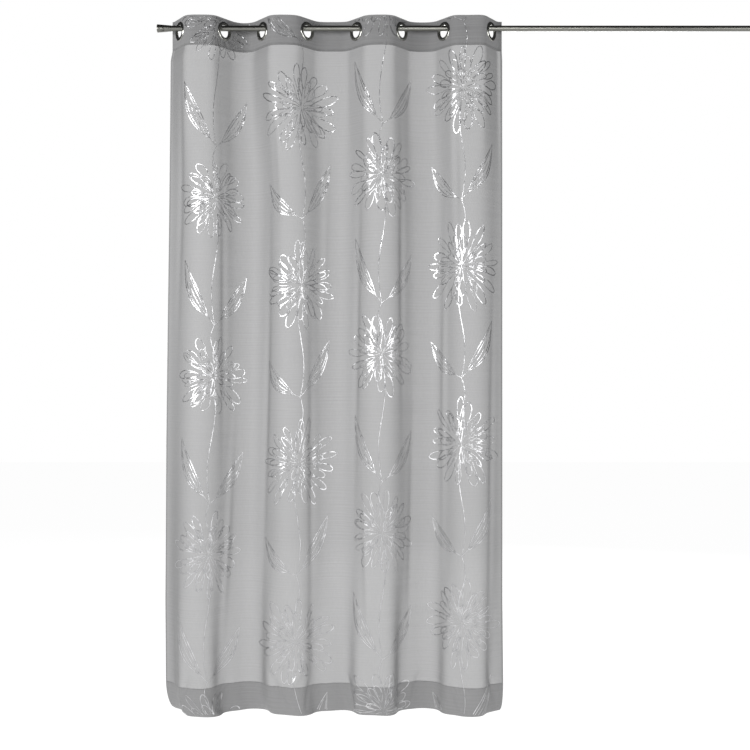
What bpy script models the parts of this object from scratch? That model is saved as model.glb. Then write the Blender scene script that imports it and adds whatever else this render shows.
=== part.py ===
"""Sheer voile curtain panel with eight metal eyelets, hung on a slim metal rod.

Metres, +Z up. +X runs along the rod and -Y points into the room. The origin lies on the
rod's axis, halfway between the first and the last eyelet.

The cloth keeps its flat width at every height. A place on it is given by its flat
coordinate, measured from the left edge, and by its height. The cloth's heading angle at that
place, in plan, says which way it runs: 0 along the rod, positive away from the room. Adding up
those angles along the flat width gives the plan of the folds.
"""
import math
from typing import NamedTuple

import bmesh
import bpy
import numpy as np
from mathutils import Matrix, Vector

# ---------------------------------------------------------------- driving dimensions
FIT_GAP = 0.0003  # between pieces that touch

ROD_RADIUS = 0.0095
ROD_WALL = 0.001
ROD_LEFT = -0.572
ROD_LENGTH = 2.1
ROD_SIDES = 24

FINIAL_LENGTH = 0.0475
FINIAL_END_RADIUS = 0.01385
FINIAL_NECK_RADIUS = 0.0102
FINIAL_GROOVE = 0.0009
FINIAL_SPIGOT = 0.025

CLOTH = 0.001  # thickness of each sheet
TOP_EDGE = 0.0345
BAND_BOTTOM = -0.0685
HEM_BOTTOM = -2.371

RING_RADIUS = 0.0325
BORE_RADIUS = 0.0213
BARREL_WALL = 0.0009
RING_DROP = 0.0105  # ring centre below the rod's axis
RING_SIDES = 20
CROWN = 0.003
BACK_RING = 0.0019
FLAT_HALF = 0.034  # the cloth is held flat this far each side of a ring's centre
HOLE_RADIUS = 0.0231
SQUARE_CELLS = 4  # cells along a side of the square of cloth around a hole

STEP = 0.001  # spacing of the samples along the flat width
GAP_CELLS = 5  # cells of cloth between two squares
EDGE_CELLS = 2
BLEND_HEIGHT = 0.55  # the heading's folds have turned into the body's this far below the band
RIPPLE_LENGTH = 0.60  # the hem's small ripples fade out over this height
CORNER_HEIGHT = 0.10
LEFT_CORNER_INSET = 0.034
RIGHT_CORNER_INSET = 0.012


class Eyelet(NamedTuple):
    """cloth is the flat width from the last eyelet, or from the left edge."""

    x: float
    angle: float
    cloth: float


class Station(NamedTuple):
    """A crest of the folds. mid and hem are flat coordinates; steep_* are in degrees."""

    mid: float
    hem: float
    steep_mid: float
    steep_hem: float


class Ripple(NamedTuple):
    """A small ripple that grows towards the hem."""

    centre: float
    width: float
    steep: float


class Outline(NamedTuple):
    """Where the two side edges hang at a height."""

    z: float
    left: float
    right: float


EYELETS = (
    Eyelet(x=-0.5406, angle=-56.0, cloth=0.055),
    Eyelet(x=-0.3874, angle=54.0, cloth=0.192),
    Eyelet(x=-0.2549, angle=-52.0, cloth=0.178),
    Eyelet(x=-0.1000, angle=49.0, cloth=0.189),
    Eyelet(x=0.0705, angle=-49.0, cloth=0.202),
    Eyelet(x=0.2272, angle=52.0, cloth=0.191),
    Eyelet(x=0.3738, angle=-52.0, cloth=0.183),
    Eyelet(x=0.5374, angle=56.0, cloth=0.200),
)
RIGHT_CLOTH = 0.060
LEFT_EDGE_ANGLE = -38.0
RIGHT_EDGE_ANGLE = -8.0

# Front and back crests take turns. steep_* is how steeply the cloth runs to this crest from
# the one before. The first and the last lie off the cloth, behind it.
STATIONS = (
    Station(mid=-0.060, hem=-0.040, steep_mid=0.0, steep_hem=0.0),
    Station(mid=0.175, hem=0.180, steep_mid=50.0, steep_hem=62.0),
    Station(mid=0.355, hem=0.372, steep_mid=54.0, steep_hem=50.0),
    Station(mid=0.550, hem=0.575, steep_mid=50.0, steep_hem=46.0),
    Station(mid=0.722, hem=0.735, steep_mid=50.0, steep_hem=38.0),
    Station(mid=0.925, hem=0.920, steep_mid=50.0, steep_hem=40.0),
    Station(mid=1.115, hem=1.090, steep_mid=52.0, steep_hem=52.0),
    Station(mid=1.305, hem=1.310, steep_mid=52.0, steep_hem=52.0),
    Station(mid=1.500, hem=1.490, steep_mid=48.0, steep_hem=50.0),
)
RIPPLES = (
    Ripple(centre=0.110, width=0.110, steep=20.0),
    Ripple(centre=0.275, width=0.120, steep=-30.0),
    Ripple(centre=0.480, width=0.130, steep=26.0),
    Ripple(centre=0.660, width=0.120, steep=-28.0),
    Ripple(centre=0.835, width=0.130, steep=30.0),
    Ripple(centre=1.010, width=0.120, steep=-26.0),
    Ripple(centre=1.205, width=0.120, steep=24.0),
    Ripple(centre=1.390, width=0.100, steep=-22.0),
)
OUTLINE = (
    Outline(z=-0.10, left=-0.580, right=0.580),
    Outline(z=-0.73, left=-0.587, right=0.580),
    Outline(z=-1.43, left=-0.5965, right=0.580),
    Outline(z=-1.99, left=-0.601, right=0.580),
    Outline(z=-2.371, left=-0.598, right=0.583),
)
# Heights of the rows of cells below the band.
BODY_ROWS = (-0.13, -0.22, -0.34, -0.50, -0.68, -0.88, -1.09, -1.30, -1.51, -1.72, -1.92, -2.10)
HEM_ROWS = (-2.23, -2.31, HEM_BOTTOM)


# ---------------------------------------------------------------- the plan of the folds
def ease(t):
    """A soft step from 0 to 1."""
    t = np.clip(t, 0.0, 1.0)
    return t * t * (3.0 - 2.0 * t)


def running_sum(values):
    """The integral of samples STEP apart, from 0 at the first."""
    return np.concatenate(([0.0], np.cumsum((values[1:] + values[:-1]) / 2.0) * STEP))


EYELET_FLAT = np.cumsum([e.cloth for e in EYELETS])
FLAT_WIDTH = float(EYELET_FLAT[-1]) + RIGHT_CLOTH
FLAT = np.linspace(0.0, FLAT_WIDTH, round(FLAT_WIDTH / STEP) + 1)


def gap_angles(u, start, end, across, along):
    """Heading angles over a gap, u from 0 to 1. Two terms shape the bulge and leave its ends alone."""
    return start + (end - start) * u + across * np.sin(2 * np.pi * u) + along * np.sin(np.pi * u)


def solve_gap(start, end, cloth, chord):
    """The two terms of gap_angles that make cloth of this length span the chord and end level."""
    u = np.linspace(0.0, 1.0, 201)
    flats = FLAT_HALF * np.array(
        (math.cos(start) + math.cos(end), math.sin(start) + math.sin(end))
    )

    def miss(terms):
        angles = gap_angles(u, start, end, *terms)
        steps = np.array((np.cos(angles), np.sin(angles)))
        reach = (steps[:, 1:] + steps[:, :-1]).mean(axis=1) / 2.0
        return flats + (cloth - 2 * FLAT_HALF) * reach - np.array((chord, 0.0))

    terms, nudge = np.zeros(2), 1e-5
    for _ in range(30):
        now = miss(terms)
        slopes = [(miss(terms + nudge * unit) - now) / nudge for unit in np.eye(2)]
        terms = terms - np.linalg.solve(np.column_stack(slopes), now)
    return terms


def heading_angles():
    """The heading angle at each sample along the top of the cloth."""
    knots = []
    angles = np.zeros_like(FLAT)
    for eyelet, place in zip(EYELETS, EYELET_FLAT):
        turn = math.radians(eyelet.angle)
        angles[np.abs(FLAT - place) <= FLAT_HALF + STEP / 2] = turn
        knots.append((place, turn, eyelet.x))
    for (place_a, turn_a, x_a), (place_b, turn_b, x_b) in zip(knots, knots[1:]):
        terms = solve_gap(turn_a, turn_b, place_b - place_a, x_b - x_a)
        inside = (FLAT > place_a + FLAT_HALF) & (FLAT < place_b - FLAT_HALF)
        u = (FLAT[inside] - place_a - FLAT_HALF) / (place_b - place_a - 2 * FLAT_HALF)
        angles[inside] = gap_angles(u, turn_a, turn_b, *terms)
    left = FLAT < EYELET_FLAT[0] - FLAT_HALF
    reach = EYELET_FLAT[0] - FLAT_HALF
    edge = math.radians(LEFT_EDGE_ANGLE)
    angles[left] = edge + (knots[0][1] - edge) * ease(FLAT[left] / reach)
    right = FLAT > EYELET_FLAT[-1] + FLAT_HALF
    reach = RIGHT_CLOTH - FLAT_HALF
    edge = math.radians(RIGHT_EDGE_ANGLE)
    turned = ease((FLAT[right] - EYELET_FLAT[-1] - FLAT_HALF) / reach)
    angles[right] = knots[-1][1] + (edge - knots[-1][1]) * turned
    return angles


HEADING_ANGLES = heading_angles()


def heading_plan():
    """x and y of the samples at the heading, with the first eyelet on the rod's axis."""
    x, y = running_sum(np.cos(HEADING_ANGLES)), running_sum(np.sin(HEADING_ANGLES))
    first, last = (np.interp(EYELET_FLAT[i], FLAT, x) for i in (0, -1))
    stretch = (EYELETS[-1].x - EYELETS[0].x) / (last - first)
    x = EYELETS[0].x + (x - first) * stretch
    rings = np.interp(EYELET_FLAT, FLAT, y)
    return x, y - np.interp(FLAT, EYELET_FLAT, rings)


HEADING_X, HEADING_Y = heading_plan()


def fold_angles(z):
    """The heading angles of the body's folds and of the hem's ripples at a height."""
    down = np.clip((BAND_BOTTOM - z) / (BAND_BOTTOM - HEM_BOTTOM), 0.0, 1.0)
    late = float(ease((down - 0.35) / 0.65))
    places = [s.mid + (s.hem - s.mid) * late for s in STATIONS]
    steeps = [s.steep_mid + (s.steep_hem - s.steep_mid) * late for s in STATIONS]
    angles = np.zeros_like(FLAT)
    side = -1.0
    for start, end, steep in zip(places, places[1:], steeps[1:]):
        inside = (FLAT >= start) & (FLAT < end)
        rise = np.sin(np.pi * (FLAT[inside] - start) / (end - start))
        angles[inside] = side * math.radians(steep) * rise
        side = -side
    grown = float(ease((HEM_BOTTOM + RIPPLE_LENGTH - z) / RIPPLE_LENGTH))
    for ripple in RIPPLES:
        reach = (FLAT - ripple.centre) / ripple.width
        window = np.where(np.abs(reach) < 1.0, np.cos(np.pi * reach / 2) ** 2, 0.0)
        angles += math.radians(ripple.steep) * grown * window * np.sin(2 * np.pi * reach)
    return angles


def side_edges(z):
    """Where the left and right edges hang at a height, drawn in round the bottom corners."""
    heights = [-o.z for o in OUTLINE]
    left = np.interp(-z, [-BAND_BOTTOM, *heights], [HEADING_X[0], *(o.left for o in OUTLINE)])
    right = np.interp(-z, [-BAND_BOTTOM, *heights], [HEADING_X[-1], *(o.right for o in OUTLINE)])
    into = np.clip((HEM_BOTTOM + CORNER_HEIGHT - z) / CORNER_HEIGHT, 0.0, 1.0)
    drawn = 1.0 - math.sqrt(1.0 - into**2)
    return left + LEFT_CORNER_INSET * drawn, right - RIGHT_CORNER_INSET * drawn


def gathered(angles, width):
    """The plan of these angles, made steeper or shallower by one factor until it spans the width."""
    low, high = 0.2, 2.0
    for _ in range(40):
        factor = (low + high) / 2.0
        if running_sum(np.cos(angles * factor))[-1] > width:
            low = factor
        else:
            high = factor
    return running_sum(np.cos(angles * factor)), running_sum(np.sin(angles * factor))


def plan_at(z):
    """x and y of every sample along the flat width at a height."""
    if z >= BAND_BOTTOM:
        return HEADING_X, HEADING_Y
    share = float(ease((BAND_BOTTOM - z) / BLEND_HEIGHT))
    left, right = side_edges(z)
    angles = (1.0 - share) * HEADING_ANGLES + share * fold_angles(z)
    x, y = gathered(angles, right - left)
    y = y - np.polyval(np.polyfit(FLAT, y, 1), FLAT)
    return left + x, y + np.polyval(np.polyfit(FLAT, HEADING_Y, 1), FLAT)


# ---------------------------------------------------------------- sheets of cloth
def cloth_columns():
    """Flat coordinates of the columns of cells, and the first column of each eyelet's square."""
    columns, squares = [], []
    last = 0.0
    cells = EDGE_CELLS
    for place in EYELET_FLAT:
        columns += list(np.linspace(last, place - FLAT_HALF, cells, endpoint=False))
        squares.append(len(columns))
        last, cells = place + FLAT_HALF, GAP_CELLS
        columns += list(np.linspace(place - FLAT_HALF, last, SQUARE_CELLS, endpoint=False))
    columns += list(np.linspace(last, FLAT_WIDTH, EDGE_CELLS + 1))
    return columns, squares


def mitred(points):
    """Vectors in plan that shift a polyline's sides apart by one unit, towards the back."""
    runs = np.diff(points, axis=0)
    normals = np.column_stack((-runs[:, 1], runs[:, 0])) / np.linalg.norm(runs, axis=1)[:, None]
    before = np.vstack((normals[:1], normals))
    after = np.vstack((normals, normals[-1:]))
    return (before + after) / (1.0 + np.sum(before * after, axis=1))[:, None]


def square_border():
    """(column, row) steps around a square of cells, starting at its low left corner."""
    n = SQUARE_CELLS
    low = [(i, 0) for i in range(n)]
    right = [(n, i) for i in range(n)]
    high = [(n - i, n) for i in range(n)]
    left = [(0, n - i) for i in range(n)]
    return low + right + high + left


def eyelet_place(number):
    """The middle of an eyelet on the folds, with its X along the cloth and its Z up."""
    x, y = (float(np.interp(EYELET_FLAT[number], FLAT, line)) for line in (HEADING_X, HEADING_Y))
    turn = Matrix.Rotation(math.radians(EYELETS[number].angle), 4, "Z")
    return Matrix.Translation((x, y, -RING_DROP)) @ turn


def hole_rim(bm, number, depth):
    """Vertices around an eyelet's hole, one for each step of square_border."""
    place = eyelet_place(number)
    rim = []
    for steps in square_border():
        spoke = Vector(steps) - Vector((SQUARE_CELLS, SQUARE_CELLS)) / 2.0
        reach = spoke.normalized() * HOLE_RADIUS
        rim.append(bm.verts.new(place @ Vector((reach.x, depth, reach.y))))
    return rim


def sheet_rims(grid, rims):
    """The loops of vertices where a side of a sheet ends: its outer edge and its holes."""
    outer = [*grid[0], *(row[-1] for row in grid[1:-1]), *grid[-1][::-1]]
    outer += [row[0] for row in grid[-2:0:-1]]
    return [outer, *rims]


def add_side(bm, heights, columns, squares, depth):
    """The vertices of one side of a sheet: its grid, top row first, and its holes' rims."""
    grid = []
    for z in heights:
        line = np.column_stack([np.interp(columns, FLAT, samples) for samples in plan_at(z)])
        line = line + depth * mitred(line)
        grid.append([bm.verts.new((x, y, z)) for x, y in line])
    return grid, [hole_rim(bm, number, depth) for number in range(len(squares))]


def face_side(bm, grid, rims, squares, back):
    """Faces one side of a sheet, leaving its holes open."""
    cells = [
        (row, col)
        for row in range(len(grid) - 1)
        for col in range(len(grid[0]) - 1)
        if not (1 <= row <= SQUARE_CELLS and any(0 <= col - s < SQUARE_CELLS for s in squares))
    ]
    faces = [
        (grid[row + 1][col], grid[row + 1][col + 1], grid[row][col + 1], grid[row][col])
        for row, col in cells
    ]
    for first, rim in zip(squares, rims):
        border = [grid[1 + SQUARE_CELLS - up][first + along] for along, up in square_border()]
        for a in range(len(rim)):
            b = (a + 1) % len(rim)
            faces.append((border[a], border[b], rim[b], rim[a]))
    for corners in faces:
        bm.faces.new(corners[::-1] if back else corners)


def sheet(name, heights, offset, material):
    """A closed sheet on the folds, between the top and the last height, with a hole at each eyelet.

    heights run downwards and hold the square of cells around the holes after the first one.
    offset is from the folds' own surface to the sheet's front, towards the back.
    """
    columns, squares = cloth_columns()
    bm = bmesh.new()
    front = add_side(bm, heights, columns, squares, offset)
    rear = add_side(bm, heights, columns, squares, offset + CLOTH)
    face_side(bm, *front, squares, False)
    face_side(bm, *rear, squares, True)
    for loop, mate in zip(sheet_rims(*front), sheet_rims(*rear)):
        for a in range(len(loop)):
            b = (a + 1) % len(loop)
            bm.faces.new((loop[a], loop[b], mate[b], mate[a]))
    bmesh.ops.triangulate(bm, faces=bm.faces[:])
    bmesh.ops.recalc_face_normals(bm, faces=bm.faces[:])
    return finish(name, bm, material, 40.0)


# ---------------------------------------------------------------- turned pieces
def finish(name, bm, material, sharp_degrees):
    """Turns a bmesh into an object, shaded smooth up to an angle."""
    mesh = bpy.data.meshes.new(name)
    bm.to_mesh(mesh)
    bm.free()
    mesh.shade_smooth()
    mesh.set_sharp_from_angle(angle=math.radians(sharp_degrees))
    mesh.materials.append(material)
    obj = bpy.data.objects.new(name, mesh)
    bpy.context.scene.collection.objects.link(obj)
    return obj


def turned_mesh(profile, sides, closed):
    """A solid turned about Z from (radius, height) points.

    A closed profile makes a ring. An open one starts and ends on the axis, where its end
    points stand for one vertex each.
    """
    bm = bmesh.new()
    loops = []
    for radius, height in profile:
        if radius == 0.0:
            loops.append([bm.verts.new((0.0, 0.0, height))] * sides)
            continue
        turns = [2.0 * math.pi * i / sides for i in range(sides)]
        loops.append(
            [bm.verts.new((radius * math.cos(t), radius * math.sin(t), height)) for t in turns]
        )
    pairs = list(zip(loops, loops[1:]))
    if closed:
        pairs.append((loops[-1], loops[0]))
    for low, high in pairs:
        for a in range(sides):
            b = (a + 1) % sides
            corners = list(dict.fromkeys((low[a], low[b], high[b], high[a])))
            bm.faces.new(corners)
    bmesh.ops.recalc_face_normals(bm, faces=bm.faces[:])
    return bm


def place_along_x(obj, x, outward):
    """Lays a turned piece on the rod's axis at x, its own +Z pointing outward along X."""
    turn = Matrix.Rotation(math.radians(90.0 * outward), 4, "Y")
    obj.matrix_world = Matrix.Translation((x, 0.0, 0.0)) @ turn


def build_rod(material):
    """The rod: a tube, open at both ends."""
    bore = ROD_RADIUS - ROD_WALL
    profile = ((ROD_RADIUS, 0.0), (ROD_RADIUS, ROD_LENGTH), (bore, ROD_LENGTH), (bore, 0.0))
    rod = finish("rod", turned_mesh(profile, ROD_SIDES, True), material, 40.0)
    place_along_x(rod, ROD_LEFT, 1)


def build_finial(name, x, outward, material):
    """A flared end cap with a turned groove, and a spigot that goes into the tube."""
    spigot = ROD_RADIUS - ROD_WALL - FIT_GAP
    chamfer = 0.0012
    middle = (FINIAL_NECK_RADIUS + FINIAL_END_RADIUS) / 2.0
    groove = FINIAL_LENGTH / 2.0
    profile = (
        (0.0, -FINIAL_SPIGOT),
        (spigot - chamfer, -FINIAL_SPIGOT),
        (spigot, chamfer - FINIAL_SPIGOT),
        (spigot, FIT_GAP),
        (FINIAL_NECK_RADIUS, FIT_GAP),
        (FINIAL_NECK_RADIUS, 0.003),
        (middle, groove - FINIAL_GROOVE),
        (middle - FINIAL_GROOVE, groove),
        (middle, groove + FINIAL_GROOVE),
        (FINIAL_END_RADIUS, FINIAL_LENGTH - chamfer),
        (FINIAL_END_RADIUS - chamfer, FINIAL_LENGTH),
        (0.0, FINIAL_LENGTH),
    )
    finial = finish(name, turned_mesh(profile, ROD_SIDES, False), material, 30.0)
    place_along_x(finial, x, outward)


def ring_profiles():
    """(radius, height) outlines of the front and the back half, heights towards the room."""
    face = FIT_GAP / 2.0 + CLOTH + FIT_GAP
    barrel_end = -(face + BACK_RING - FIT_GAP)
    outer = BORE_RADIUS + BARREL_WALL
    span = RING_RADIUS - BORE_RADIUS
    front = (
        (BORE_RADIUS, barrel_end),
        (BORE_RADIUS, face + 0.2 * CROWN),
        (BORE_RADIUS + 0.14 * span, face + 0.8 * CROWN),
        (BORE_RADIUS + 0.48 * span, face + CROWN),
        (BORE_RADIUS + 0.84 * span, face + 0.62 * CROWN),
        (RING_RADIUS, face),
        (outer, face),
        (outer, barrel_end),
    )
    washer = outer + FIT_GAP
    back = (
        (washer, -face),
        (RING_RADIUS - 0.0005, -face),
        (RING_RADIUS - 0.0015, -face - 0.7 * BACK_RING),
        (washer + 0.3 * span, -face - BACK_RING),
        (washer, -face - 0.8 * BACK_RING),
    )
    return front, back


def build_eyelets(material):
    """The eight rings, each turned the way the cloth runs there."""
    front, back = ring_profiles()
    stand = Matrix.Rotation(math.radians(90.0), 4, "X")
    for number in range(len(EYELETS)):
        for half, profile in (("front", front), ("back", back)):
            name = f"eyelet_{half}_{number + 1}"
            ring = finish(name, turned_mesh(profile, RING_SIDES, True), material, 50.0)
            ring.matrix_world = eyelet_place(number) @ stand


def surface(name, colour, roughness, metallic):
    """A plain material."""
    material = bpy.data.materials.new(name)
    material.use_nodes = True
    shader = material.node_tree.nodes["Principled BSDF"]
    shader.inputs["Base Color"].default_value = (*colour, 1.0)
    shader.inputs["Roughness"].default_value = roughness
    shader.inputs["Metallic"].default_value = metallic
    return material


def main():
    for obj in list(bpy.data.objects):
        bpy.data.objects.remove(obj, do_unlink=True)
    voile = surface("voile", (0.46, 0.46, 0.47), 0.75, 0.0)
    heading = surface("heading", (0.30, 0.30, 0.31), 0.8, 0.0)
    steel = surface("steel", (0.42, 0.42, 0.40), 0.3, 1.0)
    nickel = surface("nickel", (0.50, 0.50, 0.47), 0.25, 1.0)

    square_top, square_bottom = FLAT_HALF - RING_DROP, -FLAT_HALF - RING_DROP
    top_rows = [TOP_EDGE, *np.linspace(square_top, square_bottom, SQUARE_CELLS + 1), BAND_BOTTOM]
    half_gap = FIT_GAP / 2.0
    panel_rows = [*top_rows, *BODY_ROWS, *HEM_ROWS]
    sheet("voile_panel", panel_rows, -half_gap - CLOTH, voile)
    sheet("heading_band", top_rows, half_gap, heading)
    build_eyelets(nickel)
    build_rod(steel)
    build_finial("finial_left", ROD_LEFT, -1, steel)
    build_finial("finial_right", ROD_LEFT + ROD_LENGTH, 1, steel)


main()
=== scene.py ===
"""Looks of a sheer voile curtain panel with eight metal eyelets, hung on a slim metal rod.

Metres, +Z up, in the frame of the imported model: +X runs along the rod, -Y points into the
room, and the origin lies on the rod's axis, halfway between the first and the last eyelet.

A place on the cloth is given by its flat coordinate, measured from the left edge of the flat
cloth, and by its height. FoldPlan turns that into a place in the room.
"""
import logging
import math
import random
from dataclasses import dataclass, field
from enum import Enum
from functools import cached_property
from typing import NamedTuple

import bmesh
import bpy
import numpy as np
from mathutils import Matrix, Vector


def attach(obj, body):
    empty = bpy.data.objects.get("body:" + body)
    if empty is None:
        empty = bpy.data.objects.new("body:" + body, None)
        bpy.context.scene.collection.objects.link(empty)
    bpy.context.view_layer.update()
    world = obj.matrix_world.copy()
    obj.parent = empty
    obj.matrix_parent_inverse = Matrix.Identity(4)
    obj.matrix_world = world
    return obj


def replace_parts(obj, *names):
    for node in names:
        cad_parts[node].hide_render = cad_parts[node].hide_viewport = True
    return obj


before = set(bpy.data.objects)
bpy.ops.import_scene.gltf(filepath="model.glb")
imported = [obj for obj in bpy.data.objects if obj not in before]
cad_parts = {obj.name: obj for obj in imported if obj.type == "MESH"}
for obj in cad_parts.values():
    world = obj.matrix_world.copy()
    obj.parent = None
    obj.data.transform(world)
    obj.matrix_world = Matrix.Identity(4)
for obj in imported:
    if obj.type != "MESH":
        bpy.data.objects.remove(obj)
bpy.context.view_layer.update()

LOG = logging.getLogger("curtain")
BODY = "root"


# ---------------------------------------------------------------- finishes
class Slot(Enum):
    """The record's material slots."""

    VOILE = "voile"
    HEADING = "heading"
    EYELET = "eyelet_metal"
    ROD = "rod_metal"


def node_surface(name: str) -> tuple[bpy.types.Material, bpy.types.Node]:
    """A fresh node material and its main shader.

    Args:
        name: the material's name.

    Returns:
        The material and its shader.
    """
    material = bpy.data.materials.new(name)
    material.use_nodes = True
    return material, material.node_tree.nodes["Principled BSDF"]


def noise_value(
    material: bpy.types.Material, source: str, scale: tuple[float, float, float], detail: float
) -> bpy.types.NodeSocket:
    """A stretched noise over a surface.

    Args:
        material: the material that gets the nodes.
        source: the Texture Coordinate output that drives it.
        scale: how many times the noise repeats over a metre, each way.
        detail: the noise's detail.

    Returns:
        The socket with the noise's value.
    """
    nodes, links = material.node_tree.nodes, material.node_tree.links
    place = nodes.new("ShaderNodeTexCoord")
    stretch = nodes.new("ShaderNodeMapping")
    stretch.inputs["Scale"].default_value = scale
    noise = nodes.new("ShaderNodeTexNoise")
    noise.inputs["Scale"].default_value = 1.0
    noise.inputs["Detail"].default_value = detail
    links.new(place.outputs[source], stretch.inputs["Vector"])
    links.new(stretch.outputs["Vector"], noise.inputs["Vector"])
    return noise.outputs["Fac"]


def ranged(
    material: bpy.types.Material, value: bpy.types.NodeSocket, low: float, high: float
) -> bpy.types.NodeSocket:
    """Spreads the middle of a noise's range from low to high.

    Args:
        material: the material that gets the node.
        value: the noise.
        low: what the range's lower end becomes.
        high: what its upper end becomes.

    Returns:
        The socket with the spread value.
    """
    spread = material.node_tree.nodes.new("ShaderNodeMapRange")
    spread.inputs["From Min"].default_value = 0.3
    spread.inputs["From Max"].default_value = 0.7
    spread.inputs["To Min"].default_value = low
    spread.inputs["To Max"].default_value = high
    material.node_tree.links.new(value, spread.inputs["Value"])
    return spread.outputs["Result"]


def calculated(
    material: bpy.types.Material,
    operation: str,
    first: bpy.types.NodeSocket,
    second: bpy.types.NodeSocket | float,
) -> bpy.types.NodeSocket:
    """Combines two values in a material.

    Args:
        material: the material that gets the node.
        operation: the Math node's operation.
        first: the first value.
        second: the second value, a socket or a number.

    Returns:
        The result's socket.
    """
    node = material.node_tree.nodes.new("ShaderNodeMath")
    node.operation = operation
    node.use_clamp = True
    material.node_tree.links.new(first, node.inputs[0])
    if isinstance(second, float):
        node.inputs[1].default_value = second
    else:
        material.node_tree.links.new(second, node.inputs[1])
    return node.outputs[0]


@dataclass(frozen=True)
class ClothFinish:
    """A sheer woven cloth with uneven weft threads."""

    name: str
    thin: float
    thick: float
    dark: float
    light: float
    sideways: float = 0.0
    threads: tuple[float, float, float] = (9.0, 1100.0, 1.0)
    bands: tuple[float, float, float] = (2.5, 160.0, 1.0)

    def dress(self) -> bpy.types.Material:
        """The material: threads set how much shows through, and its tone.

        Returns:
            The material.
        """
        material, shader = node_surface(self.name)
        links = material.node_tree.links
        slubs = noise_value(material, "UV", self.threads, 2.0)
        bands = noise_value(material, "UV", self.bands, 3.0)
        both = calculated(material, "MULTIPLY", slubs, 0.5)
        both = calculated(material, "ADD", both, calculated(material, "MULTIPLY", bands, 0.5))
        cover = ranged(material, both, self.thin, self.thick)
        if self.sideways:
            edge = material.node_tree.nodes.new("ShaderNodeLayerWeight")
            edge.inputs["Blend"].default_value = 0.5
            turned = calculated(material, "POWER", edge.outputs["Facing"], 1.6)
            cover = calculated(
                material, "ADD", cover, calculated(material, "MULTIPLY", turned, self.sideways)
            )
        links.new(cover, shader.inputs["Alpha"])
        tone = material.node_tree.nodes.new("ShaderNodeValToRGB")
        tone.color_ramp.elements[0].position = 0.3
        tone.color_ramp.elements[0].color = (self.dark, self.dark, self.dark * 1.01, 1.0)
        tone.color_ramp.elements[1].position = 0.7
        tone.color_ramp.elements[1].color = (self.light, self.light, self.light * 1.01, 1.0)
        links.new(both, tone.inputs["Fac"])
        links.new(tone.outputs["Color"], shader.inputs["Base Color"])
        shader.inputs["Roughness"].default_value = 0.7
        shader.inputs["Sheen Weight"].default_value = 0.15
        return material


@dataclass(frozen=True)
class MetalFinish:
    """A plated metal with a slightly uneven polish."""

    name: str
    dark: tuple[float, float, float]
    light: tuple[float, float, float]
    smooth: float
    rough: float
    streaks: tuple[float, float, float] = (60.0, 60.0, 60.0)
    crinkle: float = 0.0

    def dress(self) -> bpy.types.Material:
        """The material: the streaks set its tone and its polish; on the foil, the tone's lighter
        patches are partly painted highlights and its darker ones partly painted dark reflection.

        Returns:
            The material.
        """
        material, shader = node_surface(self.name)
        links = material.node_tree.links
        polish_and_painted_highlight = noise_value(material, "Object", self.streaks, 2.0)
        links.new(ranged(material, polish_and_painted_highlight, self.smooth, self.rough), shader.inputs["Roughness"])
        # Tone from dark to light in random patches: the metal's own unevenness, and on the foil
        # partly painted highlights and painted dark reflection.
        tone = material.node_tree.nodes.new("ShaderNodeValToRGB")
        tone.color_ramp.elements[0].position = 0.3
        tone.color_ramp.elements[0].color = (*self.dark, 1.0)
        tone.color_ramp.elements[1].position = 0.7
        tone.color_ramp.elements[1].color = (*self.light, 1.0)
        links.new(polish_and_painted_highlight, tone.inputs["Fac"])
        links.new(tone.outputs["Color"], shader.inputs["Base Color"])
        shader.inputs["Metallic"].default_value = 1.0
        if self.crinkle:
            bump = material.node_tree.nodes.new("ShaderNodeBump")
            bump.inputs["Distance"].default_value = self.crinkle
            links.new(polish_and_painted_highlight, bump.inputs["Height"])
            links.new(bump.outputs["Normal"], shader.inputs["Normal"])
        return material


VOILE = ClothFinish("voile_cloth", 0.70, 0.81, 0.185, 0.225, sideways=0.55)
HEM_CLOTH = ClothFinish("hem_cloth", 0.62, 0.78, 0.10, 0.14)
TAPE = ClothFinish("heading_tape", 0.93, 0.98, 0.28, 0.34)
BINDING = ClothFinish("stitched_binding", 0.95, 0.99, 0.07, 0.10)
THREAD = ClothFinish("sewing_thread", 0.95, 0.99, 0.06, 0.10)
# Silver foil: its tone from dark to light grey in random patches is partly painted highlight and
# painted dark reflection, standing in for lines that catch the light and lines that don't.
FOIL = MetalFinish(
    "silver_foil", (0.34, 0.34, 0.35), (0.62, 0.62, 0.63), 0.26, 0.40, (45.0, 45.0, 45.0), 0.003
)
NICKEL = MetalFinish("satin_nickel", (0.32, 0.32, 0.30), (0.44, 0.44, 0.41), 0.16, 0.22)
STEEL = MetalFinish(
    "brushed_steel", (0.15, 0.15, 0.14), (0.22, 0.22, 0.20), 0.30, 0.35, (2.0, 30.0, 30.0)
)


# ---------------------------------------------------------------- the folds
class Eyelet(NamedTuple):
    """cloth is the flat width from the last eyelet, or from the left edge."""

    x: float
    angle: float
    cloth: float


class Station(NamedTuple):
    """A crest of the folds. mid and hem are flat coordinates; steep_* are in degrees."""

    mid: float
    hem: float
    steep_mid: float
    steep_hem: float


class Ripple(NamedTuple):
    """A small ripple that grows towards the hem."""

    centre: float
    width: float
    steep: float


class Outline(NamedTuple):
    """Where the two side edges hang at a height."""

    z: float
    left: float
    right: float


class Crease(NamedTuple):
    """A soft trough in the cloth, or a ridge where the depth is negative.

    width and length are its reach each way, and lean is how far it moves along the cloth for
    each metre of height.
    """

    flat: float
    z: float
    width: float
    length: float
    depth: float
    lean: float = 0.0


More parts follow.
